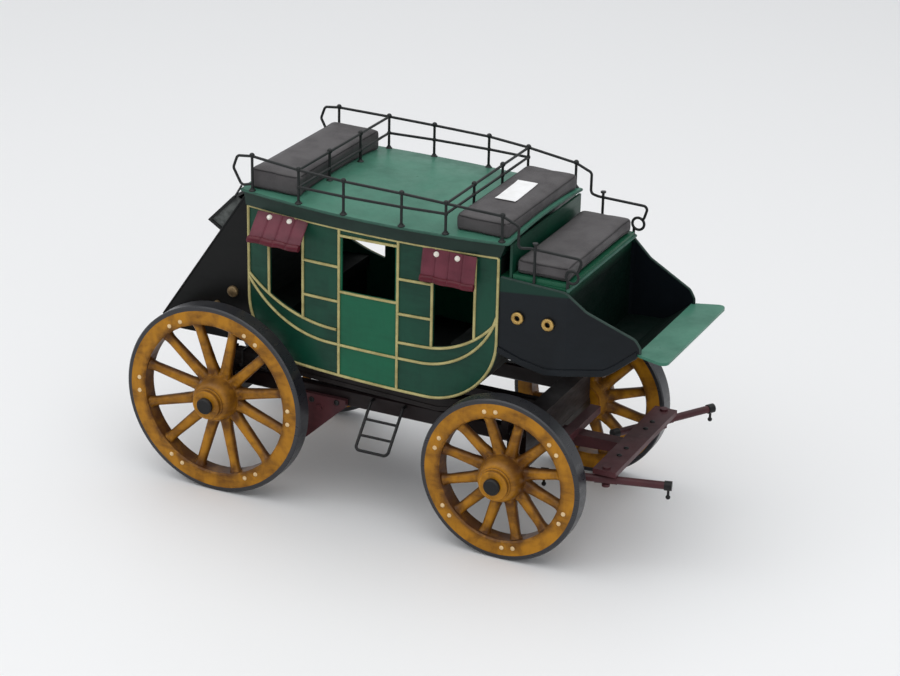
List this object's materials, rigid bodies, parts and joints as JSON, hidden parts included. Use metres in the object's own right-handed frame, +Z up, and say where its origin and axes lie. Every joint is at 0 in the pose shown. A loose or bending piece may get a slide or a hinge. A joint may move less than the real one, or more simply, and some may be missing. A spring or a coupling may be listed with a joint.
{
  "type": "model stagecoach",
  "caption": "Display model of a horse-drawn stagecoach: bowed hollow cabin on straps, roof seats in wire rails, driver's boot, rear boot, dished spoked wheels, steering fore-carriage.",
  "frame": {"origin": "on the ground, below the middle of the coach's overall length and width", "axes": "+X forward towards the team, +Y the coach's left side, +Z up"},
  "size_m": [0.3144, 0.1522, 0.1968],
  "materials": {
    "coach_green": "gloss",
    "door_green": "gloss",
    "pale_green": "satin",
    "cream_wire": "satin",
    "ochre": "satin",
    "black_metal": "satin",
    "burgundy": "satin",
    "blind_red": "matt",
    "seat_grey": "satin",
    "strap": "satin",
    "brass": "polished"
  },
  "bodies": {
    "coach": {"benches": "seat_grey", "blinds": "blind_red", "boot_eyelets": "brass", "boot_floor": "coach_green", "boot_hood": "black_metal", "boot_ledge": "coach_green", "boot_side_left": "coach_green", "boot_side_right": "coach_green", "brake_gear": "burgundy", "door_left": "door_green", "door_right": "door_green", "driver_seat": "seat_grey", "end_walls": "coach_green", "floor_pan": "coach_green", "footboard": "pale_green", "front_bolster": "burgundy", "mouldings_left": "cream_wire", "mouldings_right": "cream_wire", "perch": "burgundy", "rail_cross": "black_metal", "rail_left": "black_metal", "rail_right": "black_metal", "rear_axle": "black_metal", "rear_bolster": "burgundy", "rear_boot": "black_metal", "roof_cornice": "coach_green", "roof_deck": "pale_green", "roof_seat_front": "seat_grey", "roof_seat_rear": "seat_grey", "seat_back_panel": "coach_green", "side_panel_left": "coach_green", "side_panel_right": "coach_green", "side_perch_left": "burgundy", "side_perch_right": "burgundy", "step_left": "black_metal", "step_right": "black_metal", "thoroughbrace_left": "strap", "thoroughbrace_right": "strap"},
    "wheel_front_right": {"wheel_front_right": "ochre", "nave_front_right": "ochre", "tyre_front_right": "black_metal"},
    "wheel_front_left": {"wheel_front_left": "ochre", "nave_front_left": "ochre", "tyre_front_left": "black_metal"},
    "wheel_rear_right": {"wheel_rear_right": "ochre", "nave_rear_right": "ochre", "tyre_rear_right": "black_metal"},
    "wheel_rear_left": {"wheel_rear_left": "ochre", "nave_rear_left": "ochre", "tyre_rear_left": "black_metal"},
    "front_carriage": {"front_axle": "black_metal", "splinter_bar": "burgundy"},
    "singletree_right": {"singletree_right": "burgundy", "singletree_irons_right": "black_metal"},
    "singletree_left": {"singletree_left": "burgundy", "singletree_irons_left": "black_metal"}
  },
  "joints": [
    {"name": "steering", "type": "hinge", "parent": "coach", "child": "front_carriage", "pos_m": [0.0718, 0, 0.046], "axis": [0, 0, 1], "range_deg": [-6, 6]},
    {"name": "roll_rear_right", "type": "hinge", "parent": "coach", "child": "wheel_rear_right", "pos_m": [-0.1022, -0.06, 0.055], "axis": [0, 1, 0], "continuous": true},
    {"name": "roll_rear_left", "type": "hinge", "parent": "coach", "child": "wheel_rear_left", "pos_m": [-0.1022, 0.06, 0.055], "axis": [0, 1, 0], "continuous": true},
    {"name": "roll_front_right", "type": "hinge", "parent": "front_carriage", "child": "wheel_front_right", "pos_m": [0.0718, -0.06, 0.046], "axis": [0, 1, 0], "continuous": true},
    {"name": "roll_front_left", "type": "hinge", "parent": "front_carriage", "child": "wheel_front_left", "pos_m": [0.0718, 0.06, 0.046], "axis": [0, 1, 0], "continuous": true},
    {"name": "swing_right", "type": "hinge", "parent": "front_carriage", "child": "singletree_right", "pos_m": [0.1228, -0.0415, 0.0482], "axis": [0, 0, 1], "range_deg": [-73, 1]},
    {"name": "swing_left", "type": "hinge", "parent": "front_carriage", "child": "singletree_left", "pos_m": [0.1228, 0.0415, 0.0482], "axis": [0, 0, 1], "range_deg": [-72, 3]}
  ]
}
